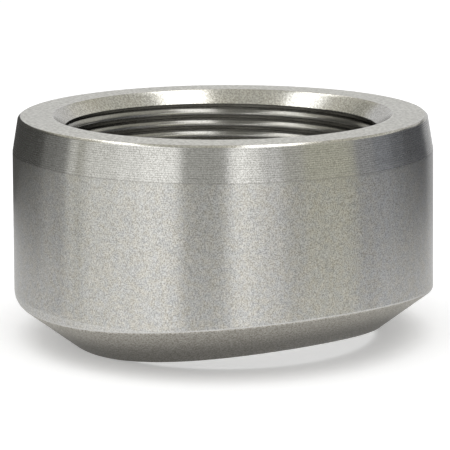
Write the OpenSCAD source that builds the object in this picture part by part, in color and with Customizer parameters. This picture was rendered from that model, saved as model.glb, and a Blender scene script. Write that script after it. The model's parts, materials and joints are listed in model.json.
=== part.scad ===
// Threaded branch outlet fitting, turned from one stainless forging.
// A short round body stands on the side of a larger run pipe and is welded
// there. Its base is cut to the run pipe's curve and bevelled for the weld,
// and its outlet end takes a taper threaded branch pipe.
// The branch axis is +Z and the run pipe lies along X. The lowest points of
// the base stand at z = 0.

/* [Body] */
// Outside diameter of the body at the foot of the turned band
body_d = 78; // [74:0.5:90]
// Height of the outlet face above the crown of the run pipe
outlet_h = 38.1; // [34:0.1:60]
// Draft of the forged side, which widens downwards, in degrees
draft = 0.75; // [0:0.05:2]
// Height of the forging's parting line above the crown of the run pipe
parting_h = 5.7; // [5:0.1:7]
// Lean of the side below the parting line, in degrees
under_lean = 5; // [1:0.5:12]

/* [Outlet end] */
// Height of the turned band below the outlet face
band_h = 6.4; // [3:0.1:10]
// Lean of the turned band from the body's side, in degrees
band_lean = 10; // [4:0.5:15]
// Size of the small bevel that breaks the outer edge of the outlet face
edge_break = 0.4; // [0.2:0.1:1]

/* [Bore] */
// Diameter of the tapping bore
bore_d = 56.36; // [48:0.01:58]
// Width of the countersink round the bore, at the outlet face
countersink_w = 3.22; // [1.8:0.01:4.8]
// Lean of the countersink's wall from the bore's axis, in degrees
countersink_lean = 45; // [30:1:60]

/* [Base] */
// Outside diameter of the run pipe that the base sits on
run_d = 273.05; // [219.1:0.05:610]
// Width of the root face between the bore and the weld bevel
root_w = 1.6; // [0.8:0.1:3]
// Rise of the weld bevel from level, in degrees
bevel_rise = 38; // [30:0.5:45]

/* [Hidden] */

// Number of straight steps round the weld bevel
bevel_steps = 144;
// Number of sides of the round surfaces
$fn = 180;
// Clear overlap of the cutting tools past the metal
cut = 2;

body_r = body_d / 2;
bore_r = bore_d / 2;
run_r = run_d / 2;
root_r = bore_r + root_w;

// The run pipe's surface falls away from its crown by this much at a distance y
function run_fall(y) = run_r - sqrt(run_r * run_r - y * y);

crown_z = run_fall(root_r);
face_z = crown_z + outlet_h;
band_z = face_z - band_h;
face_r = body_r - band_h * tan(band_lean);
parting_z = crown_z + parting_h;
parting_r = body_r + (band_z - parting_z) * tan(draft);
foot_r = parting_r - (parting_z + cut) * tan(under_lean);
countersink_r = bore_r + countersink_w;
countersink_z = face_z - countersink_w / tan(countersink_lean);

// The bevel keeps one angle and falls round the base with the root's edge
function root_z(a) = crown_z - run_fall(root_r * sin(a));
function bevel_z(r, a) = root_z(a) + (r - root_r) * tan(bevel_rise);

bevel_in_r = root_r - cut;
bevel_out_r = parting_r + cut;

// Half section of the blank. The side widens down to the parting line and
// narrows again below it.
module section() {
    polygon([
        [bore_r, -cut],
        [foot_r, -cut],
        [parting_r, parting_z],
        [body_r, band_z],
        [face_r + edge_break * tan(band_lean), face_z - edge_break],
        [face_r - edge_break, face_z],
        [countersink_r, face_z],
        [bore_r, countersink_z],
    ]);
}

// The turned and bored blank, before its base is shaped
module blank() {
    rotate_extrude()
        section();
}

// The run pipe, which leaves the saddle
module run_pipe() {
    translate([0, 0, crown_z - run_r])
        rotate([0, 90, 0])
            cylinder(r = run_r, h = 2 * bevel_out_r, center = true);
}

// The weld preparation: everything below a cone that follows the saddle
module weld_bevel() {
    turns = [for (i = [0 : bevel_steps - 1]) 360 * i / bevel_steps];
    low_z = bevel_z(bevel_in_r, 90) - cut;
    function ring(r, z) = [for (a = turns) [r * cos(a), r * sin(a), z]];
    function slope_ring(r) = [for (a = turns) [r * cos(a), r * sin(a), bevel_z(r, a)]];
    function wall(lower, upper) = [
        for (i = [0 : bevel_steps - 1])
            let (j = (i + 1) % bevel_steps)
                each [
                    [lower + i, upper + i, upper + j],
                    [lower + i, upper + j, lower + j],
                ]
    ];
    in_top = 0;
    out_top = bevel_steps;
    out_low = 2 * bevel_steps;
    in_low = 3 * bevel_steps;
    polyhedron(
        points = concat(
            slope_ring(bevel_in_r),
            slope_ring(bevel_out_r),
            ring(bevel_out_r, low_z),
            ring(bevel_in_r, low_z)
        ),
        faces = concat(
            wall(out_top, in_top),
            wall(out_low, out_top),
            wall(in_low, out_low),
            wall(in_top, in_low)
        )
    );
}

// The finished fitting
module outlet_body() {
    color("silver")
        difference() {
            blank();
            run_pipe();
            weld_bevel();
        }
}

outlet_body();
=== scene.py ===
import json
import math

import bmesh
import bpy
from bpy.props import FloatProperty, FloatVectorProperty, IntProperty, PointerProperty
from mathutils import Matrix, Vector


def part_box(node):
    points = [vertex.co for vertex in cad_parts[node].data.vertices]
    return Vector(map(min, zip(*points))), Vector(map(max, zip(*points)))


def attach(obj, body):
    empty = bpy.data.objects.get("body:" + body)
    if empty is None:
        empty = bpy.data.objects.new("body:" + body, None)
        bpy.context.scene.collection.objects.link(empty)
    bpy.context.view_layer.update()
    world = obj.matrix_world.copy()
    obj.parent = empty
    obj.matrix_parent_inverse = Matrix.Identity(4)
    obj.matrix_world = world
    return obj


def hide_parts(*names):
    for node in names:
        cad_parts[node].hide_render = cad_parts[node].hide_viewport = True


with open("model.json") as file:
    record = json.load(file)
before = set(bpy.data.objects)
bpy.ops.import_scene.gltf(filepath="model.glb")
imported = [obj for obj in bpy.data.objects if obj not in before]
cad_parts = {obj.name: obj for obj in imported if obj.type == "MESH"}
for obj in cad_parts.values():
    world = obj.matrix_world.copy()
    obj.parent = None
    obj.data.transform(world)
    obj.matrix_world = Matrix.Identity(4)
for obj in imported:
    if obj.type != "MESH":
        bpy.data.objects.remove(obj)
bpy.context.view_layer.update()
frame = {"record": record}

bl_info = {
    "name": "Branch Outlet Fitting",
    "version": (1, 0, 0),
    "blender": (4, 5, 0),
    "location": "View3D > Sidebar > Outlet",
    "description": "Dresses the packed branch outlet fitting: a threaded steel body on a pale floor",
    "category": "Object",
}

MM = 0.001
INCH = 25.4 * MM
THREADS_PER_INCH = 11.5
NODE = "outlet_body"
BODY = "root"


def mount(name):
    """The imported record's mount of that name."""
    return next(m for m in frame["record"]["mounts"] if m["name"] == name)


NODE_LOW, NODE_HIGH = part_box(NODE)
WIDEST_RADIUS = (NODE_HIGH[1] - NODE_LOW[1]) / 2
FACE_HEIGHT = NODE_HIGH[2]
BORE_RADIUS = mount("threaded_outlet")["dims"]["r_mm"] * MM
CROWN_HEIGHT = mount("run_saddle")["pos_m"][2]


def length(name, description, default):
    """A size in metres that the panel shows with its unit."""
    return FloatProperty(
        name=name, description=description, default=default, unit="LENGTH", precision=5
    )


def angle(name, description, degrees):
    """An angle, given here in degrees."""
    return FloatProperty(
        name=name, description=description, default=math.radians(degrees), subtype="ANGLE"
    )


def colour(name, description, default):
    """A linear colour."""
    return FloatVectorProperty(
        name=name, description=description, default=default, subtype="COLOR", size=3, min=0.0, max=1.0
    )


def share(name, description, default):
    """A number from 0 to 1."""
    return FloatProperty(
        name=name, description=description, default=default, subtype="FACTOR", min=0.0, max=1.0
    )


class OutletShape(bpy.types.PropertyGroup):
    """Sizes of the turned and bevelled body."""

    widest_radius: length("Widest radius", "Outside radius at the forging's parting line", WIDEST_RADIUS)
    draft: angle("Draft", "Draft of the forged side, which widens downwards", 0.75)
    parting_height: length("Parting height", "Height of the parting line above the crown", 5.7 * MM)
    under_lean: angle("Under lean", "Lean of the side below the parting line", 5.0)
    parting_soft: length("Parting edge", "Rounding of the parting line", 0.2 * MM)
    face_height: length("Face height", "Height of the outlet face above the base", FACE_HEIGHT)
    band_height: length("Band height", "Height of the turned band below the outlet face", 6.4 * MM)
    band_lean: angle("Band lean", "Lean of the turned band from the body's side", 10.0)
    edge_break: length("Edge break", "Size of the bevel on the outer edge of the outlet face", 0.4 * MM)
    edge_soft: length("Edge softness", "Rounding of the turned edges", 0.08 * MM)
    scribe_width: length("Scribe width", "Width of the tool line at the foot of the band", 0.22 * MM)
    scribe_depth: length("Scribe depth", "Depth of the tool line at the foot of the band", 0.07 * MM)
    bore_radius: length("Bore radius", "Radius of the tapping bore", BORE_RADIUS)
    countersink_width: length("Countersink width", "Width of the countersink round the bore", 3.22 * MM)
    crown_height: length("Crown height", "Height of the run pipe's crown above the base", CROWN_HEIGHT)
    run_radius: length("Run pipe radius", "Outside radius of the run pipe under the saddle", 136.525 * MM)
    root_width: length("Root face", "Width of the root face between bore and bevel", 1.6 * MM)
    bevel_rise: angle("Bevel rise", "Rise of the weld bevel from level", 38.0)
    bevel_soft: length("Bevel edge", "Rounding of the bevel's upper edge", 0.35 * MM)
    round_steps: IntProperty(name="Round steps", description="Steps round the body", default=360, min=48)


class OutletThread(bpy.types.PropertyGroup):
    """Sizes of the right-hand taper pipe thread."""

    pitch: length("Pitch", "Distance from crest to crest", INCH / THREADS_PER_INCH)
    taper: FloatProperty(name="Taper", description="Loss of radius per length", default=1 / 32)
    height: length("Thread height", "Height of the thread from root to crest", 1.0 * MM)
    crest_round: length("Crest rounding", "Radius of the crest's rounded edge", 0.8 * MM)
    crest_lean: angle("Crest lean", "Lean of the crest's upper side from the axis", 36.0)
    crest_slope: length("Crest slope", "Height of the crest's straight upper side", 0.68 * MM)
    flank: angle("Flank", "Lean of the groove's upper flank from level", 30.0)
    mouth_radius: length("Mouth radius", "Radius of the crests at the outlet face", 28.80 * MM)
    depth: length("Thread depth", "Depth of the last thread below the outlet face", 25.0 * MM)
    fade: length("Run-out", "Length over which the last threads run out", 5.0 * MM)
    start: angle("Thread start", "Turn of the thread round the axis", 63.0)


class OutletFinish(bpy.types.PropertyGroup):
    """Colours and gloss of the steel, and the painted light and shade on some of its parts."""

    steel: colour("Steel", "Bare stainless steel", (0.46, 0.457, 0.442))
    # Bright steel is painted light: a lighter copy of the steel for the faced end, which catches more
    # light
    bright: colour("Bright steel", "Steel of the freshly faced end", (0.83, 0.825, 0.805))
    warm: colour("Warm steel", "Steel of the cut bore's faint straw patches", (0.475, 0.455, 0.405))
    light: colour("Light grain", "Brightest specks of the steel's grain", (0.66, 0.655, 0.635))
    # Edges is a painted highlight: a lighter steel on the thin lines of the parting line and the bevel's
    # edge
    edge: colour("Edges", "Burnished steel of the sharp outer edges", (0.54, 0.535, 0.52))
    straw_spot: colour("Straw spots", "Steel in the faint straw spots", (0.53, 0.465, 0.34))
    blue_spot: colour("Blue spots", "Steel in the faint blue spots", (0.39, 0.42, 0.475))
    pit: colour("Pits", "Steel in the fine pits and tool lines", (0.22, 0.215, 0.20))
    # Bevel shade is painted shade, mixed into the weld bevel and the root face towards the root
    shade: colour("Bevel shade", "Steel towards the root of the weld bevel", (0.08, 0.079, 0.074))
    spot_weight: share("Spot strength", "How much the straw and blue spots colour the steel", 0.55)
    side_rough: share("Side roughness", "Roughness of the matte side", 0.35)
    # Roughness of the thin edges that carry the painted highlight
    edge_rough: share("Edge roughness", "Roughness of the burnished edges", 0.4)
    band_rough: share("Band roughness", "Roughness of the turned band", 0.27)
    face_rough: share("Face roughness", "Roughness of the outlet face", 0.38)
    sink_rough: share("Countersink roughness", "Roughness of the countersink", 0.18)
    thread_rough: share("Thread roughness", "Roughness of the thread and bore", 0.21)
    bevel_rough: share("Bevel roughness", "Roughness of the weld bevel", 0.45)
    grain: length("Grain", "Size of the steel's fine grain", 0.22 * MM)
    spot_size: length("Spot size", "Size of the straw and blue spots", 1.4 * MM)
    feed: length("Tool feed", "Distance between the band's tool lines", 0.37 * MM)


class OutletStage(bpy.types.PropertyGroup):
    """The floor, the tent and the camera."""

    azimuth: angle("Azimuth", "Camera's turn round the fitting from looking along +Y", 56.2)
    elevation: angle("Elevation", "Camera's height above the horizon", 11.63)
    roll: angle("Roll", "Camera's turn about its own axis", -0.34)
    distance: length("Distance", "Camera's distance from its aim", 390.0 * MM)
    focal: FloatProperty(name="Focal length", description="Camera's lens", default=166.24, unit="CAMERA")
    aim_depth: length("Aim depth", "Depth of the aim below the outlet face", 21.36 * MM)
    aim_side: length("Aim side", "Distance of the aim to the right of the axis", 0.31 * MM)
    floor: colour("Floor", "Pale floor", (0.92, 0.92, 0.92))
    glow: FloatProperty(name="Floor glow", description="Glow of the floor to the eye", default=0.3)
    sky: FloatProperty(name="Tent light", description="Light of the tent round the stage", default=0.62)


class Wire:
    """A node's output. Sums and products of wires add Math nodes to the same graph."""

    def __init__(self, graph, socket):
        self.graph = graph
        self.socket = socket

    def __add__(self, other):
        return self.graph.math("ADD", self, other)

    __radd__ = __add__

    def __sub__(self, other):
        return self.graph.math("SUBTRACT", self, other)

    def __rsub__(self, other):
        return self.graph.math("SUBTRACT", other, self)

    def __mul__(self, other):
        return self.graph.math("MULTIPLY", self, other)

    __rmul__ = __mul__

    def __truediv__(self, other):
        return self.graph.math("DIVIDE", self, other)

    def __rtruediv__(self, other):
        return self.graph.math("DIVIDE", other, self)

    def __pow__(self, other):
        return self.graph.math("POWER", self, other)

    def __rpow__(self, other):
        return self.graph.math("POWER", other, self)


# Places of the colour sockets of a Mix node
MIX_FACTOR = 0
MIX_A = 6
MIX_B = 7
MIX_RESULT = 2


class Graph:
    """A node tree that is written as expressions on wires."""

    def __init__(self, tree):
        self.tree = tree
        tree.nodes.clear()

    def node(self, kind, settings=None, sockets=None, out=0):
        """Adds a node, sets it up, feeds its sockets and returns the wire of one output."""
        made = self.tree.nodes.new("ShaderNode" + kind)
        for name, value in (settings or {}).items():
            setattr(made, name, value)
        for name, value in (sockets or {}).items():
            if isinstance(value, Wire):
                self.tree.links.new(value.socket, made.inputs[name])
            else:
                made.inputs[name].default_value = value
        return Wire(self, made.outputs[out]) if made.outputs else made

    def math(self, operation, a, b=0.0):
        """A number worked out of one or two numbers or wires."""
        return self.node("Math", {"operation": operation}, {0: a, 1: b})

    def mix(self, factor, a, b):
        """A colour between two colours or wires."""
        sockets = {MIX_FACTOR: factor, MIX_A: opaque(a), MIX_B: opaque(b)}
        return self.node("Mix", {"data_type": "RGBA"}, sockets, out=MIX_RESULT)

    def noise(self, vector, scale, detail=2.0, roughness=0.5):
        """Noise of 0 to 1 with about that many grains per unit of the vector."""
        sockets = {"Vector": vector, "Scale": scale, "Detail": detail, "Roughness": roughness}
        return self.node("TexNoise", {}, sockets)

    def steps(self, wire, low, high):
        """0 below low and 1 above high, smooth between."""
        sockets = {"Value": wire, "From Min": low, "From Max": high}
        return self.node("MapRange", {"interpolation_type": "SMOOTHSTEP"}, sockets)

    def ramp(self, wire, low, high, start, end):
        """The start value below low and the end value above high, smooth between."""
        return self.steps(wire, low, high) * (end - start) + start

    def wave(self, phase):
        """A sine wave of 0 to 1."""
        return self.math("SINE", phase) * 0.5 + 0.5


def opaque(value):
    """A colour with its alpha, or the wire as it is."""
    return value if isinstance(value, Wire) else (*value, 1.0)


# Tint of the shine at a glancing view, where dull steel is darker than a mirror
EDGE_TINT = (0.75, 0.75, 0.75)
# Turn that draws the gloss out along the axis
ALONG_AXIS = 0.25

# Clouds and pits per metre, and the ranges of the noise over which each mark comes up
CLOUD_SCALE = 140.0
PIT_SCALE = 700.0
NOISE_MEAN = 0.5
SPOT_RANGE = (0.35, 0.65)
GRAIN_RANGE = (0.32, 0.68)
WARM_RANGE = (0.3, 0.7)
PIT_RANGE = (0.66, 0.76)
LINE_RANGE = (0.4, 0.8)

# Strength of the marks: dark pits, the band's tool lines and the light steel between them, the
# lines' wander in radians, and the painted light that lightens the foot strip
PIT_SHADE = 0.3
LINE_SHADE = 0.75
LINE_GLEAM = 0.2
LINE_WANDER = 2.5
FOOT_PAINTED_LIGHT = 0.45

# Height of the grain beside the tool's rings on the face and in the countersink, and of the rings
# beside the grain on the bevel
FACE_GRAIN = 0.6
SINK_GRAIN = 0.3
BEVEL_RINGS = 0.6

# Heights over which painted shade darkens the side upwards, and radii over which the bevel's painted shade
# lessens
SIDE_SHADE_HEIGHTS = (6.0 * MM, 30.0 * MM)
BEVEL_SHADE_RADII = (32.0 * MM, 38.5 * MM)


class Steel(Graph):
    """A steel material: the coordinates and patterns that every finish starts from."""

    def __init__(self, name, look, coarseness=1.0):
        self.look = look
        self.material = bpy.data.materials.new(name)
        self.material.use_nodes = True
        super().__init__(self.material.node_tree)
        self.place = self.node("TexCoord", out="Object")
        axes = self.node("SeparateXYZ", sockets={0: self.place}).socket.node
        self.x, self.y, self.z = (Wire(self, socket) for socket in axes.outputs)
        self.radius = (self.x * self.x + self.y * self.y) ** 0.5
        self.grain = self.noise(self.place, 1.0 / (look.grain * coarseness), roughness=0.6)
        self.cloud = self.noise(self.place, CLOUD_SCALE, detail=3.0, roughness=0.6)

    def rings(self, spacing, drift, detail=1.0):
        """Noise drawn out round the axis, as a lathe tool leaves it, a share of the feed apart."""
        turn = {0: self.x / self.radius * drift, 1: self.y / self.radius * drift}
        across = (self.z + self.radius) / (self.look.feed * spacing)
        return self.noise(self.node("CombineXYZ", sockets={**turn, 2: across}), 1.0, detail)

    def swing(self, pattern, amount):
        """A pattern's swing about its mean, times an amount."""
        return (pattern - NOISE_MEAN) * amount

    def spotted(self):
        """Bare steel with faint straw and blue spots."""
        look = self.look
        pattern = self.noise(self.place, 1.0 / look.spot_size, detail=4.0, roughness=0.7)
        spots = self.mix(self.steps(pattern, *SPOT_RANGE), look.blue_spot, look.straw_spot)
        return self.mix(look.spot_weight, look.steel, spots)

    def warmed(self):
        """Bare steel with broad, faint straw patches."""
        return self.mix(self.steps(self.cloud, *WARM_RANGE), self.look.steel, self.look.warm)

    def grained(self, base, weight):
        """The base colour with a weight of the metal's dark and light grain."""
        specks = self.mix(self.steps(self.grain, *GRAIN_RANGE), self.look.pit, self.look.light)
        return self.mix(weight, base, specks)

    def bump(self, height, depth):
        """The normal of a surface raised by a height of 0 to 1 times a depth."""
        return self.node("Bump", {}, {"Height": height, "Distance": depth, "Strength": 1.0})

    def finish(self, base, roughness, normal, anisotropy=0.0):
        """Ends the material in bare metal whose gloss is drawn out along the axis by anisotropy."""
        sockets = {
            "Base Color": base,
            "Metallic": 1.0,
            "Roughness": roughness,
            "Normal": normal,
            "Specular Tint": opaque(EDGE_TINT),
            "Anisotropic": anisotropy,
            "Anisotropic Rotation": ALONG_AXIS,
        }
        shader = self.node("BsdfPrincipled", {}, sockets)
        self.node("OutputMaterial", {}, {"Surface": shader})
        return self.material

    def blasted(self, base):
        """Ends the material in the forging's matte, finely grained skin."""
        pits = self.steps(self.noise(self.place, PIT_SCALE), *PIT_RANGE)
        base = self.mix(pits * PIT_SHADE, self.grained(base, weight=0.6), self.look.pit)
        swing = self.swing(self.cloud, amount=0.06) + self.swing(self.grain, amount=0.06)
        normal = self.bump(self.grain, depth=0.002 * MM)
        return self.finish(base, self.look.side_rough + swing, normal, anisotropy=0.90)


def blasted_side(look):
    """The forging's side, with painted shade that darkens it a little towards the band."""
    steel = Steel("blasted_side", look)
    # Painted shade: higher up the side, more of the pits' colour
    painted_top_shade = steel.ramp(steel.z, *SIDE_SHADE_HEIGHTS, start=0.08, end=0.40)
    return steel.blasted(steel.mix(painted_top_shade, steel.spotted(), look.pit))


def forged_foot(look):
    """The strip below the forging's parting line, lighter than the side above it by painted light."""
    steel = Steel("forged_foot", look)
    # Painted light: a share of the light grain's colour in the strip
    return steel.blasted(steel.mix(FOOT_PAINTED_LIGHT, steel.spotted(), look.light))


def burnished_edge(look):
    """Painted highlights: the thin bright lines of the parting line and of the bevel's outer edge."""
    steel = Steel("burnished_edge", look)
    normal = steel.bump(steel.grain, depth=0.002 * MM)
    return steel.finish(steel.grained(look.edge, weight=0.3), look.edge_rough, normal)


def turned_band(look):
    """The turned band: fine tool lines and a soft shine along the axis."""
    steel = Steel("turned_band", look)
    wander = steel.rings(spacing=0.4, drift=1.5)
    lines = steel.wave(steel.z * (math.tau / look.feed) + wander * LINE_WANDER)
    base = steel.mix(lines * LINE_SHADE, steel.mix(LINE_GLEAM, look.steel, look.light), look.pit)
    swing = steel.swing(steel.cloud, amount=0.08) + steel.swing(wander, amount=0.10)
    normal = steel.bump(wander, depth=0.002 * MM)
    return steel.finish(steel.grained(base, weight=0.5), look.band_rough + swing, normal, anisotropy=0.95)


def faced_end(look):
    """The flat outlet face: even, with faint rings of the facing cut, and lighter by painted light."""
    steel = Steel("faced_end", look, coarseness=2.8)
    lines = steel.rings(spacing=0.6, drift=2.0)
    roughness = look.face_rough + steel.swing(lines, amount=0.12)
    normal = steel.bump(lines + steel.grain * FACE_GRAIN, depth=0.003 * MM)
    # Painted light: the face takes the lighter bright steel
    return steel.finish(steel.grained(look.bright, weight=0.6), roughness, normal, anisotropy=0.3)


def cut_countersink(look):
    """The countersink and the edge break: smooth, with faint rings."""
    steel = Steel("cut_countersink", look, coarseness=1.8)
    lines = steel.rings(spacing=0.4, drift=2.0)
    roughness = look.sink_rough + steel.swing(lines, amount=0.08)
    normal = steel.bump(lines + steel.grain * SINK_GRAIN, depth=0.0015 * MM)
    return steel.finish(steel.grained(steel.warmed(), weight=0.4), roughness, normal)


def cut_thread(look):
    """The thread and the bore: satin cut steel in painted shade, which varies along the tool's rings."""
    steel = Steel("cut_thread", look)
    lines = steel.rings(spacing=0.4, drift=2.0)
    # Painted shade: the recessed thread and bore take mostly the pits' colour, more along the rings
    painted_bore_shade = steel.ramp(lines, *LINE_RANGE, start=0.62, end=0.72)
    base = steel.mix(painted_bore_shade, steel.grained(steel.warmed(), weight=0.6), look.pit)
    roughness = look.thread_rough + steel.swing(lines, amount=0.10)
    return steel.finish(base, roughness, steel.bump(lines, depth=0.002 * MM))


def weld_bevel(look):
    """The machined weld bevel and the root face, with painted shade that darkens them towards the root."""
    steel = Steel("weld_bevel", look, coarseness=1.4)
    lines = steel.rings(spacing=0.8, drift=3.0, detail=2.0)
    # Painted shade: more of the bevel shade towards the root, less outwards
    painted_root_shade = steel.ramp(steel.radius, *BEVEL_SHADE_RADII, start=0.62, end=0.19)
    base = steel.mix(painted_root_shade, steel.grained(look.straw_spot, weight=0.75), look.shade)
    roughness = look.bevel_rough + steel.swing(lines, amount=0.12)
    normal = steel.bump(lines * BEVEL_RINGS + steel.grain, depth=0.004 * MM)
    return steel.finish(base, roughness, normal, anisotropy=0.3)


FINISHES = {
    "side": blasted_side,
    "foot": forged_foot,
    "edge": burnished_edge,
    "band": turned_band,
    "face": faced_end,
    "sink": cut_countersink,
    "thread": cut_thread,
    "bevel": weld_bevel,
}
FINISH_INDEX = {name: i for i, name in enumerate(FINISHES)}

# Rows of points along each part of the section
ROOT_ROWS = 3
BEVEL_ROWS = 10
CORNER_ROWS = 6
SIDE_ROWS = 8
BAND_ROWS = 5
FACE_ROWS = 5
SINK_ROWS = 4
BORE_ROWS = 6
SOFT_STEPS = 4

# The thread's section: points round the crest's edge, width of the root as a share of the pitch, and
# points of the under side as shares of the pitch and of the height
CREST_STEPS = 6
ROOT_SHARE = 0.20
UNDER_ROUND = ((0.95, 0.06), (0.98, 0.015))

# Closest that a row comes to its neighbours when it moves on to the countersink's edge, as a share of
# their distance
SNAP_MARGIN = 0.02
# Turns of the thread that are made beyond its length and flattened at its ends
SPARE_TURNS = 3
# Height of plain countersink that is kept above the highest cut of the thread
THREAD_MARGIN = 0.1 * MM
# Height of the side's shoulder above the bevel's highest edge, in roundings of that edge
SHOULDER_ROUNDINGS = 4
# Halvings in the search for the bevel's edge
HALVINGS = 48
# Distances below which a sliver is dropped and points are joined
SLIVER = 0.001 * MM
JOIN_DISTANCE = 0.002 * MM
SHARP_ANGLE = math.radians(40.0)


def between(a, b, count):
    """Evenly spaced numbers from a to b, both ends included."""
    return [a + (b - a) * i / (count - 1) for i in range(count)]


def soft_corner(start, corner, end):
    """Points of a smooth bend from start to end that pulls towards the corner."""
    bend = []
    for t in between(0.0, 1.0, SOFT_STEPS):
        pulls = ((1 - t) ** 2, 2 * t * (1 - t), t * t)
        bend.append(tuple(sum(p * v for p, v in zip(pulls, places)) for places in zip(start, corner, end)))
    return bend


class Section:
    """Radius and height rules of the fitting, by the azimuth from the run pipe's axis."""

    def __init__(self, shape, thread):
        self.shape = shape
        self.thread = thread
        self.root_radius = shape.bore_radius + shape.root_width
        self.lip_radius = shape.bore_radius + shape.countersink_width
        self.bevel_slope = math.tan(shape.bevel_rise)
        self.band_foot = shape.face_height - shape.band_height
        self.parting = shape.crown_height + shape.parting_height
        self.body_radius = shape.widest_radius - (self.band_foot - self.parting) * math.tan(shape.draft)
        self.face_radius = self.band_radius(shape.face_height) - shape.edge_break
        highest_edge = self.bevel_height(shape.widest_radius, 0.0)
        self.shoulder = highest_edge + SHOULDER_ROUNDINGS * shape.bevel_soft

    def run_fall(self, across):
        """Fall of the run pipe's surface from its crown at a distance across it."""
        run = self.shape.run_radius
        return run - math.sqrt(run * run - across * across)

    def saddle_height(self, radius, azimuth):
        """Height of the saddle, which lies on the run pipe."""
        return self.shape.crown_height - self.run_fall(radius * math.sin(azimuth))

    def bevel_height(self, radius, azimuth):
        """Height of the weld bevel, which rises from the root face's outer edge."""
        root = self.saddle_height(self.root_radius, azimuth)
        return root + (radius - self.root_radius) * self.bevel_slope

    def forging_radius(self, height):
        """Outside radius of the forging below the band, widest at its parting line."""
        if height >= self.parting:
            return self.body_radius + (self.band_foot - height) * math.tan(self.shape.draft)
        return self.shape.widest_radius - (self.parting - height) * math.tan(self.shape.under_lean)

    def bevel_edge(self, azimuth):
        """Height at which the bevel meets the forging."""
        low, high = 0.0, self.band_foot
        for _ in range(HALVINGS):
            middle = (low + high) / 2
            if self.bevel_height(self.forging_radius(middle), azimuth) > middle:
                low = middle
            else:
                high = middle
        return low

    def band_radius(self, height):
        """Outside radius of the turned band."""
        return self.body_radius - (height - self.band_foot) * math.tan(self.shape.band_lean)

    def sink_radius(self, height):
        """Radius of the countersink's 45 degree wall."""
        return self.lip_radius - (self.shape.face_height - height)

    def thread_radius(self, height, depth_share):
        """Radius of the cut thread where the tool reaches that share of the thread's height."""
        thread = self.thread
        below = self.shape.face_height - height
        crest = thread.mouth_radius - below * thread.taper
        left = (thread.depth - below) / thread.fade
        reach = thread.height * min(1.0, max(0.0, left))
        return crest + reach * depth_share

    def thread_rows(self):
        """(share of the pitch, share of the height) of one thread, up from crest to crest."""
        thread = self.thread
        turns = between(0.0, thread.crest_lean, CREST_STEPS)
        rows = [(thread.crest_round * math.sin(t), thread.crest_round * (1 - math.cos(t))) for t in turns]
        rise, depth = rows[-1]
        rise += thread.crest_slope
        depth += thread.crest_slope * math.tan(thread.crest_lean)
        rows.append((rise, depth))
        root = (rise + (thread.height - depth) * math.tan(thread.flank)) / thread.pitch
        shares = [(rise / thread.pitch, depth / thread.height) for rise, depth in rows]
        return (*shares, (root, 1.0), (root + ROOT_SHARE, 1.0), *UNDER_ROUND)

    def thread_top(self):
        """Height in the countersink above which no thread cuts its wall."""
        root_radius = self.thread.mouth_radius + self.thread.height
        return self.shape.face_height - (self.lip_radius - root_radius) + THREAD_MARGIN

    def thread_foot(self):
        """Height at which the last thread has run out."""
        return self.shape.face_height - self.thread.depth

    def cut_past_sink(self, row):
        """How far the thread cuts past the countersink's wall at a row's height."""
        height, cut = row
        return cut - max(self.shape.bore_radius, self.sink_radius(height))

    def snapped(self, rows):
        """Rows of (height, radius) with the ones next to the countersink's edge moved on to it."""
        rows = list(rows)
        for i in range(len(rows) - 1):
            row, above = rows[i], rows[i + 1]
            past, past_above = self.cut_past_sink(row), self.cut_past_sink(above)
            if past * past_above < 0:
                t = min(1.0 - SNAP_MARGIN, max(SNAP_MARGIN, past / (past - past_above)))
                edge = tuple(a + (b - a) * t for a, b in zip(row, above))
                rows[i if past < 0 else i + 1] = edge
        return rows

    def outside(self, azimuth):
        """(finish, radius, height) from the root face up the outside and in to the mouth."""
        return self.base_rows(azimuth) + self.side_rows(azimuth) + self.band_rows() + self.mouth_rows()

    def base_rows(self, azimuth):
        """The root face, the weld bevel and the bevel's rounded edge."""
        shape = self.shape
        root_radii = between(shape.bore_radius, self.root_radius, ROOT_ROWS)
        rows = [("bevel", r, self.saddle_height(r, azimuth)) for r in root_radii]
        edge = self.bevel_edge(azimuth)
        corner = (self.forging_radius(edge), edge)
        inner = corner[0] - shape.bevel_soft * math.cos(shape.bevel_rise)
        bevel_radii = between(self.root_radius, inner, BEVEL_ROWS)[1:-1]
        rows += [("bevel", r, self.bevel_height(r, azimuth)) for r in bevel_radii]
        start = (inner, self.bevel_height(inner, azimuth))
        end = (self.forging_radius(edge + shape.bevel_soft), edge + shape.bevel_soft)
        bend = soft_corner(start, corner, end)[:-1]
        # The bend's last row takes the edge finish, a painted highlight along the bevel's outer edge
        return rows + [(name, *p) for name, p in zip(("bevel", "bevel", "edge"), bend)]

    def wall_rows(self, finish, heights):
        """Rows of a finish up the forging."""
        return [(finish, self.forging_radius(z), z) for z in heights]

    def side_rows(self, azimuth):
        """The foot strip, the parting line where the bevel leaves it, the side and the tool line."""
        shape = self.shape
        soft = shape.parting_soft
        start = self.bevel_edge(azimuth) + shape.bevel_soft
        below, crease, above = (max(start, self.parting + rise) for rise in (-soft, 0.0, soft))
        rows = self.wall_rows("foot", between(start, below, CORNER_ROWS)[:-1])
        bend = soft_corner(*((self.forging_radius(z), z) for z in (below, crease, above)))[:-1]
        # The crease's middle row takes the edge finish, a painted highlight along the parting line
        rows += [(name, *p) for name, p in zip(("foot", "edge", "side"), bend)]
        rows += self.wall_rows("side", between(above, self.shoulder, CORNER_ROWS))
        end = self.band_foot - shape.scribe_width / 2
        rows += self.wall_rows("side", between(self.shoulder, end, SIDE_ROWS)[1:])
        # The tool line takes the thread's finish, whose painted shade makes it a dark line
        return rows + [("thread", self.body_radius - shape.scribe_depth, self.band_foot)]

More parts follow.
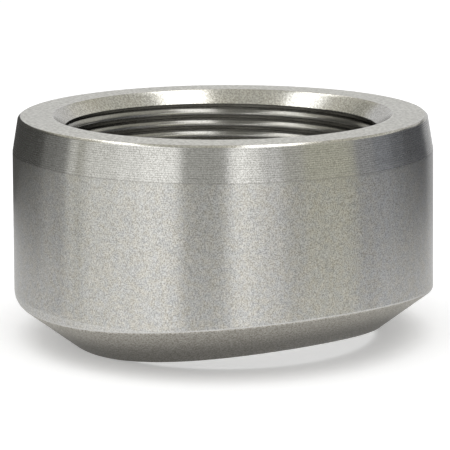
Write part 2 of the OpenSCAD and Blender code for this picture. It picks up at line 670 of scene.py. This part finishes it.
    def band_rows(self):
        """The turned band and the edge break with its two rounded edges."""
        shape = self.shape
        soft = shape.edge_soft
        foot_height = shape.face_height - shape.edge_break
        start = self.band_foot + shape.scribe_width / 2
        heights = between(start, foot_height - soft, BAND_ROWS)[:-1]
        rows = [("band", self.band_radius(z), z) for z in heights]
        foot = Vector((self.band_radius(foot_height), foot_height))
        head = Vector((self.face_radius, shape.face_height))
        along = (head - foot).normalized() * soft
        below = (self.band_radius(foot_height - soft), foot_height - soft)
        bend = soft_corner(below, foot, foot + along)
        rows += [(name, *p) for name, p in zip(("band", "band", "sink", "sink"), bend)]
        bend = soft_corner(head - along, head, (self.face_radius - soft, shape.face_height))[:-1]
        return rows + [("sink", *p) for p in bend]

    def mouth_rows(self):
        """The outlet face, the countersink's rounded lip and its wall down to the thread."""
        soft = self.shape.edge_soft
        face, lip = self.shape.face_height, self.lip_radius
        radii = between(self.face_radius - soft, lip + soft, FACE_ROWS)[:-1]
        rows = [("face", r, face) for r in radii]
        bend = soft_corner((lip + soft, face), (lip, face), (lip - soft, face - soft))
        rows += [("sink", *p) for p in bend]
        heights = between(face - soft, self.thread_top(), SINK_ROWS)[1:]
        return rows + [("sink", self.sink_radius(z), z) for z in heights]


class MeshRows:
    """Collects the points and faces of one closed mesh."""

    def __init__(self):
        self.points = []
        self.faces = []
        self.finishes = []

    def point(self, azimuth, radius, height):
        """Adds a point and returns its number."""
        self.points.append((radius * math.cos(azimuth), radius * math.sin(azimuth), height))
        return len(self.points) - 1

    def strip(self, columns, finishes, shift=0):
        """Faces between columns of points, closed round with rows moved by a shift at the seam."""
        for i, (column, finish) in enumerate(zip(columns, finishes)):
            last = i + 1 == len(columns)
            after = columns[0] if last else columns[i + 1]
            step = shift if last else 0
            for j in range(len(column) - 1):
                if j + 1 + step < len(after):
                    self.faces.append((column[j], after[j + step], after[j + 1 + step], column[j + 1]))
                    self.finishes.append(FINISH_INDEX[finish[j]])

    def build(self, name):
        """The mesh with its shared points joined and its faces turned outwards."""
        mesh = bpy.data.meshes.new(name)
        mesh.from_pydata(self.points, [], self.faces)
        mesh.polygons.foreach_set("material_index", self.finishes)
        work = bmesh.new()
        work.from_mesh(mesh)
        bmesh.ops.remove_doubles(work, verts=work.verts, dist=JOIN_DISTANCE)
        bmesh.ops.dissolve_degenerate(work, edges=work.edges, dist=SLIVER)
        bmesh.ops.recalc_face_normals(work, faces=work.faces)
        open_edges = sum(not edge.is_manifold for edge in work.edges)
        work.to_mesh(mesh)
        work.free()
        if open_edges:
            raise RuntimeError(f"{name} has {open_edges} open edges")
        return mesh


def add_outside(rows, section, azimuths):
    """The root face, bevel, side, band, outlet face and countersink."""
    profiles = [section.outside(a) for a in azimuths]
    columns = [[rows.point(a, r, z) for _, r, z in profile] for a, profile in zip(azimuths, profiles)]
    rows.strip(columns, [[finish for finish, _, _ in profile] for profile in profiles])


def add_thread(rows, section, azimuths):
    """The threaded wall. Its rows climb with the helix and meet themselves one thread up."""
    pitch = section.thread.pitch
    thread_rows = section.thread_rows()
    low, high = section.thread_foot(), section.thread_top()
    turns = math.ceil((high - low) / pitch) + SPARE_TURNS
    columns, finishes = [], []
    for azimuth in azimuths:
        climb = pitch * (azimuth - section.thread.start) / math.tau
        profile = []
        for turn in range(turns):
            for place, depth_share in thread_rows:
                height = low + (turn - 1 + place) * pitch + climb
                kept = min(high, max(low, height))
                share_kept = depth_share if kept == height else 0.0
                profile.append((kept, section.thread_radius(kept, share_kept)))
        profile = section.snapped(profile)
        past = [section.cut_past_sink(row) for row in profile]
        column = []
        for (height, radius), cut in zip(profile, past):
            column.append(rows.point(azimuth, radius - min(0.0, cut), height))
        columns.append(column)
        finishes.append(["thread" if max(pair) > SLIVER else "sink" for pair in zip(past, past[1:])])
    rows.strip(columns, finishes, shift=len(thread_rows))


def add_bore(rows, section, azimuths):
    """The plain bore below the thread, down to the saddle."""
    bore = section.shape.bore_radius
    columns = []
    for azimuth in azimuths:
        heights = between(section.thread_foot(), section.saddle_height(bore, azimuth), BORE_ROWS)
        columns.append([rows.point(azimuth, bore, z) for z in heights])
    rows.strip(columns, [["thread"] * BORE_ROWS] * len(columns))


class OUTLET_OT_fitting(bpy.types.Operator):
    """Make the threaded and bevelled steel body in place of its plain solid"""

    bl_idname = "outlet.fitting"
    bl_label = "Make Fitting"

    def execute(self, context):
        scene = context.scene
        section = Section(scene.outlet_shape, scene.outlet_thread)
        steps = scene.outlet_shape.round_steps
        azimuths = [math.tau * i / steps for i in range(steps)]
        rows = MeshRows()
        add_outside(rows, section, azimuths)
        add_thread(rows, section, azimuths)
        add_bore(rows, section, azimuths)
        mesh = rows.build("steel_body")
        for make in FINISHES.values():
            mesh.materials.append(make(scene.outlet_finish))
        mesh.shade_smooth()
        mesh.set_sharp_from_angle(angle=SHARP_ANGLE)
        body = bpy.data.objects.new("steel_body", mesh)
        scene.collection.objects.link(body)
        normals = body.modifiers.new("Face normals", "WEIGHTED_NORMAL")
        normals.keep_sharp = True
        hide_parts(NODE)
        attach(body, BODY)
        return {"FINISHED"}


FLOOR_REACH = 4.0
SENSOR_WIDTH = 36.0
CLIP_START = 0.01
# Power of an area lamp for each square metre and unit of brightness
LAMP_POWER = 4.0

# Cards round the stage, which the steel reflects: name, from and to azimuth in degrees to the right
# of the camera, height of the foot and of the top at both ends in metres, brightness
CARD_DISTANCE = 105.0 * MM
CARD_STEPS = 24
TALL_CARD = 0.12
LOW_CARD = 0.042
CARDS = (
    ("card_left_back", -168.0, -158.0, 0.004, LOW_CARD, LOW_CARD, (0.70, 0.70, 0.69)),
    ("card_left_fade", -158.0, -148.0, 0.006, LOW_CARD, LOW_CARD, (0.40, 0.40, 0.39)),
    ("card_left", -148.0, -96.0, 0.007, 0.07, TALL_CARD, (0.11, 0.11, 0.105)),
    ("card_left_edge", -96.0, -84.5, 0.010, TALL_CARD, TALL_CARD, (0.28, 0.28, 0.27)),
    ("card_left_soft", -84.5, -76.0, 0.006, TALL_CARD, TALL_CARD, (0.34, 0.34, 0.33)),
    ("card_left_line", -76.0, -71.0, 0.0, TALL_CARD, TALL_CARD, (1.15, 1.15, 1.10)),
    ("card_left_warm", -71.0, -66.0, 0.0, TALL_CARD, TALL_CARD, (0.60, 0.59, 0.52)),
    ("card_left_pale", -66.0, -48.0, 0.0, TALL_CARD, TALL_CARD, (1.15, 1.15, 1.11)),
    ("card_left_lamp", -48.0, -36.0, 0.0, TALL_CARD, TALL_CARD, (1.38, 1.38, 1.35)),
    ("card_left_bright", -36.0, -18.5, 0.0, TALL_CARD, TALL_CARD, (1.66, 1.66, 1.63)),
    ("card_front", -18.5, 1.0, 0.0, TALL_CARD, TALL_CARD, (0.64, 0.64, 0.61)),
    ("card_right_lamp", 3.0, 11.0, 0.0, TALL_CARD, TALL_CARD, (1.7, 1.7, 1.67)),
    ("card_right_pale", 11.0, 16.5, 0.0, TALL_CARD, TALL_CARD, (1.4, 1.4, 1.37)),
    ("card_right", 26.0, 36.0, 0.0, TALL_CARD, TALL_CARD, (0.65, 0.645, 0.60)),
    ("card_right_warm", 36.0, 62.0, 0.0, TALL_CARD, TALL_CARD, (0.73, 0.72, 0.60)),
    ("card_right_edge", 62.0, 74.0, 0.0, TALL_CARD, TALL_CARD, (0.455, 0.46, 0.475)),
    ("card_right_cool", 74.0, 86.0, 0.006, TALL_CARD, TALL_CARD, (0.34, 0.355, 0.395)),
    ("card_right_far", 86.0, 97.0, 0.006, TALL_CARD, TALL_CARD, (0.215, 0.225, 0.25)),
    ("card_rear", 97.0, 125.0, 0.006, TALL_CARD, 0.09, (0.15, 0.155, 0.17)),
    ("card_rear_fade", 125.0, 135.0, 0.006, 0.07, LOW_CARD, (0.60, 0.605, 0.62)),
    ("card_rear_back", 135.0, 150.0, 0.004, LOW_CARD, LOW_CARD, (0.80, 0.80, 0.81)),
)

# Parts of the ceiling, which the bore and the mouth reflect: name, left and right, far and near, and
# height in metres, brightness. A lower part hides what is above it
CEILING_HEIGHT = 0.90
PATCH_HEIGHT = 0.895
CORNER_HEIGHT = 0.89
PANEL_HEIGHT = 0.62
CEILINGS = (
    ("ceiling_far", -1.6, 1.6, -1.7, 0.18, CEILING_HEIGHT, (0.75, 0.74, 0.66)),
    ("ceiling_near", -1.6, 1.6, 0.18, 2.2, CEILING_HEIGHT, (0.30, 0.30, 0.27)),
    ("corner_left", -1.9, -0.85, -1.3, 0.02, CORNER_HEIGHT, (0.13, 0.13, 0.12)),
    ("corner_left_far", -3.4, -1.45, -3.6, -1.3, CORNER_HEIGHT, (0.10, 0.10, 0.09)),
    ("corner_right", 0.8, 1.9, -0.25, 0.1, CORNER_HEIGHT, (0.20, 0.20, 0.18)),
    ("corner_right_mid", 1.05, 2.1, -0.7, -0.25, CORNER_HEIGHT, (0.20, 0.20, 0.18)),
    ("corner_right_pale", 0.78, 1.22, -1.9, -0.50, PATCH_HEIGHT, (1.0, 0.99, 0.93)),
    ("corner_right_far", 1.35, 3.4, -3.6, -0.7, CORNER_HEIGHT, (0.14, 0.14, 0.13)),
    ("glow_right", 0.16, 0.60, 0.26, 0.80, PANEL_HEIGHT, (1.9, 1.9, 1.82)),
    ("glow_left", -1.10, -0.40, 0.0, 0.46, PANEL_HEIGHT, (2.1, 2.1, 2.0)),
)

# Soft lamps: name, right, near and up in metres from the base, width, depth, brightness, and
# whether the steel shows it or it lights the floor
LAMPS = (
    ("lamp_top_right", 0.1525, 0.12, PANEL_HEIGHT, 0.185, 0.75, 2.1, True),
    ("lamp_top_left", -0.3225, -0.08, PANEL_HEIGHT, 0.125, 1.06, 1.9, True),
    ("lamp_fill", 0.0, 0.35, 1.2, 1.6, 1.6, 0.9, False),
)


def view_axes(stage):
    """Right, near and up of the stage as the camera stands, level with the floor."""
    turn = stage.azimuth
    right = Vector((math.cos(turn), math.sin(turn), 0.0))
    near = Vector((math.sin(turn), -math.cos(turn), 0.0))
    return right, near, Vector((0.0, 0.0, 1.0))


def seen_rays(graph):
    """1 for what the eye sees, straight or in a reflection, and 0 for a surface that is being lit."""
    path = graph.node("LightPath").socket.node.outputs
    camera, glossy, clear = (
        Wire(graph, path[name]) for name in ("Is Camera Ray", "Is Glossy Ray", "Is Transmission Ray")
    )
    return graph.math("MINIMUM", camera + glossy + clear, 1.0)


def add_stage_mesh(name, points, faces, material):
    """A mesh of the stage, which isn't part of the fitting."""
    mesh = bpy.data.meshes.new(name)
    mesh.from_pydata(points, [], faces)
    mesh.materials.append(material)
    thing = bpy.data.objects.new(name, mesh)
    bpy.context.scene.collection.objects.link(thing)
    return thing


def floor_material(stage):
    """Matte and pale, with a faint glow to the eye and in reflections that lightens its shadow."""
    material = bpy.data.materials.new("pale_floor")
    material.use_nodes = True
    graph = Graph(material.node_tree)
    pale = opaque(stage.floor)
    matte = graph.node("BsdfDiffuse", {}, {"Color": pale})
    glow = graph.node("Emission", {}, {"Color": pale, "Strength": seen_rays(graph) * stage.glow})
    graph.node("OutputMaterial", {}, {"Surface": graph.node("AddShader", {}, {0: matte, 1: glow})})
    return material


def add_floor(stage):
    """The pale floor, level with the fitting's lowest points."""
    reach = FLOOR_REACH
    corners = [(-reach, -reach, 0), (reach, -reach, 0), (reach, reach, 0), (-reach, reach, 0)]
    add_stage_mesh("floor", corners, [(0, 1, 2, 3)], floor_material(stage))


def card_material(name, brightness):
    """An even glow, so that a card is as bright as it is written."""
    material = bpy.data.materials.new(name)
    material.use_nodes = True
    graph = Graph(material.node_tree)
    glow = graph.node("Emission", {}, {"Color": opaque(brightness), "Strength": 1.0})
    graph.node("OutputMaterial", {}, {"Surface": glow})
    return material


def add_reflected(name, points, faces, brightness):
    """A glowing card that only the steel's reflections show."""
    card = add_stage_mesh(name, points, faces, card_material(name, brightness))
    card.visible_camera = False
    card.visible_diffuse = False
    card.visible_shadow = False


def add_card(stage, name, start, end, foot, start_top, end_top, brightness):
    """A curved card that stands round the fitting."""
    points = []
    for degrees, top in zip(between(start, end, CARD_STEPS), between(start_top, end_top, CARD_STEPS)):
        turn = stage.azimuth + math.radians(degrees)
        x, y = CARD_DISTANCE * math.sin(turn), -CARD_DISTANCE * math.cos(turn)
        points += [(x, y, foot), (x, y, top)]
    faces = [(2 * i, 2 * i + 2, 2 * i + 3, 2 * i + 1) for i in range(CARD_STEPS - 1)]
    add_reflected(name, points, faces, brightness)


def add_ceiling(stage, name, left, right, far, near, height, brightness):
    """A level part of the ceiling."""
    side, front, above = view_axes(stage)
    corners = [(left, far), (right, far), (right, near), (left, near)]
    points = [side * a + front * b + above * height for a, b in corners]
    add_reflected(name, points, [(0, 1, 2, 3)], brightness)


def add_lamp(stage, name, right, near, up, width, depth, brightness, shown):
    """An even rectangular lamp that hangs level, shown in the steel or else lighting the floor."""
    side, front, above = view_axes(stage)
    lamp = bpy.data.lights.new(name, "AREA")
    lamp.shape = "RECTANGLE"
    lamp.size = width
    lamp.size_y = depth
    lamp.energy = LAMP_POWER * width * depth * brightness
    holder = bpy.data.objects.new(name, lamp)
    turn = Matrix((side, -front, above)).transposed().to_4x4()
    holder.matrix_world = Matrix.Translation(side * right + front * near + above * up) @ turn
    holder.visible_camera = False
    holder.visible_glossy = shown
    holder.visible_diffuse = not shown
    bpy.context.scene.collection.objects.link(holder)


def add_tent(stage):
    """A white tent round the stage: white to look at and in reflections, softer as a light."""
    world = bpy.data.worlds.new("white_tent")
    world.use_nodes = True
    graph = Graph(world.node_tree)
    strength = stage.sky + seen_rays(graph) * (1.0 - stage.sky)
    sockets = {"Color": (1.0, 1.0, 1.0, 1.0), "Strength": strength}
    graph.node("OutputWorld", {}, {"Surface": graph.node("Background", {}, sockets)})
    bpy.context.scene.world = world


def add_camera(stage, shape):
    """The camera, which stands as the photo's did."""
    side, front, above = view_axes(stage)
    aim = side * stage.aim_side + above * (shape.face_height - stage.aim_depth)
    back = front * math.cos(stage.elevation) + above * math.sin(stage.elevation)
    lens = bpy.data.cameras.new("photo_camera")
    lens.lens = stage.focal
    lens.sensor_width = SENSOR_WIDTH
    lens.clip_start = CLIP_START
    camera = bpy.data.objects.new("photo_camera", lens)
    turn = (-back).to_track_quat("-Z", "Y").to_matrix().to_4x4() @ Matrix.Rotation(stage.roll, 4, "Z")
    camera.matrix_world = Matrix.Translation(aim + back * stage.distance) @ turn
    bpy.context.scene.collection.objects.link(camera)
    bpy.context.scene.camera = camera


class OUTLET_OT_stage(bpy.types.Operator):
    """Set up the camera, lay the pale floor and hang the tent, the cards and the soft lamps"""

    bl_idname = "outlet.stage"
    bl_label = "Set Stage"

    def execute(self, context):
        scene = context.scene
        stage = scene.outlet_stage
        add_camera(stage, scene.outlet_shape)
        add_floor(stage)
        add_tent(stage)
        for ceiling in CEILINGS:
            add_ceiling(stage, *ceiling)
        for card in CARDS:
            add_card(stage, *card)
        for lamp in LAMPS:
            add_lamp(stage, *lamp)
        scene.view_settings.view_transform = "Standard"
        return {"FINISHED"}


class OUTLET_PT_panel(bpy.types.Panel):
    """Sizes and finishes of the fitting, and the buttons that make it"""

    bl_idname = "OUTLET_PT_panel"
    bl_label = "Branch Outlet Fitting"
    bl_space_type = "VIEW_3D"
    bl_region_type = "UI"
    bl_category = "Outlet"

    def draw(self, context):
        for group in GROUPS:
            box = self.layout.box()
            box.label(text=group.replace("_", " ").title())
            settings = getattr(context.scene, group)
            for name in type(settings).__annotations__:
                box.prop(settings, name)
        self.layout.operator(OUTLET_OT_fitting.bl_idname)
        self.layout.operator(OUTLET_OT_stage.bl_idname)


GROUPS = {
    "outlet_shape": OutletShape,
    "outlet_thread": OutletThread,
    "outlet_finish": OutletFinish,
    "outlet_stage": OutletStage,
}
CLASSES = (*GROUPS.values(), OUTLET_OT_fitting, OUTLET_OT_stage, OUTLET_PT_panel)


def register():
    for cls in CLASSES:
        bpy.utils.register_class(cls)
    for name, group in GROUPS.items():
        setattr(bpy.types.Scene, name, PointerProperty(type=group))


def unregister():
    for name in GROUPS:
        delattr(bpy.types.Scene, name)
    for cls in reversed(CLASSES):
        bpy.utils.unregister_class(cls)


def main():
    register()
    bpy.ops.outlet.fitting()
    bpy.ops.outlet.stage()


if __name__ == "__main__":
    main()
